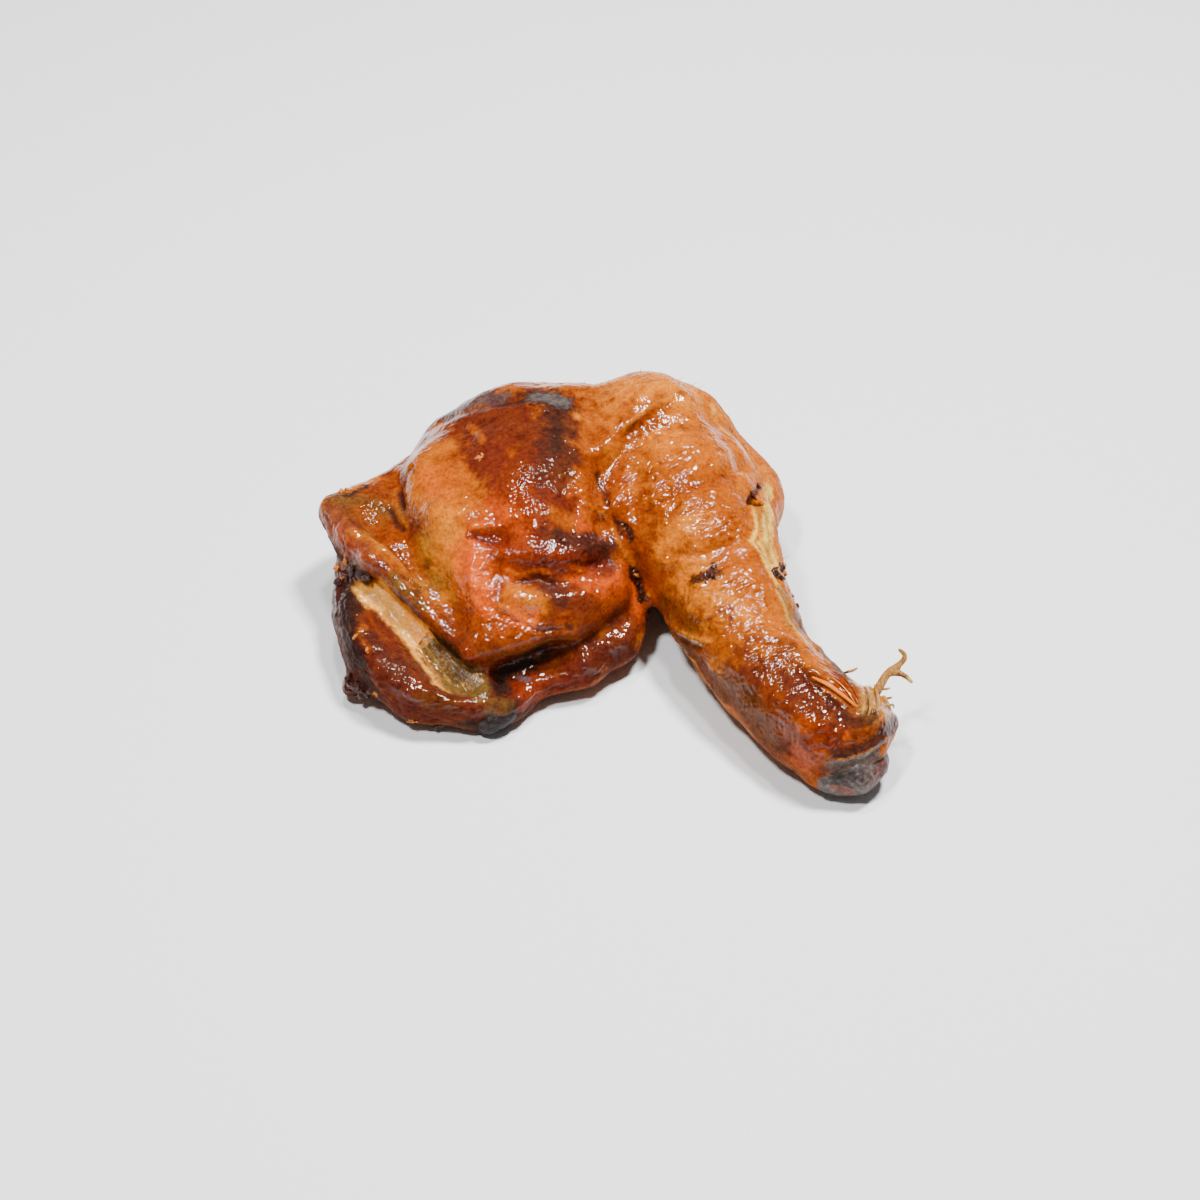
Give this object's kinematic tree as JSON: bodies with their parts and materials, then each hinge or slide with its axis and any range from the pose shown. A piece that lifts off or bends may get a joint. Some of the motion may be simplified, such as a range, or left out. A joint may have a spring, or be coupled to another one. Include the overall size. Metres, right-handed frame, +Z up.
{
  "type": "roast chicken leg quarter",
  "caption": "Roast chicken thigh and drumstick, joined, with the cut end of the back, lying skin side up to rest on a plate or tray.",
  "frame": {"origin": "on the surface that the leg lies on, under the middle of the outline", "axes": "+X from the thigh towards the drumstick, +Y from the knuckle towards the knee, +Z up through the skin side"},
  "size_m": [0.1546, 0.1268, 0.0493],
  "materials": {
    "roast_skin": "glossy roasted skin, golden to dark red-brown, with charred patches",
    "bare_strip": "satin, pale and fibrous",
    "tendon": "satin, orange",
    "joint_bone": "dull, dark grey, dried on",
    "dry_strands": "dull, dried fibre"
  },
  "bodies": {
    "root": {"leg": "roast_skin", "hip_strip": "bare_strip", "shank_tendon": "tendon", "joint_end": "joint_bone", "torn_strands": "dry_strands"}
  },
  "joints": []
}
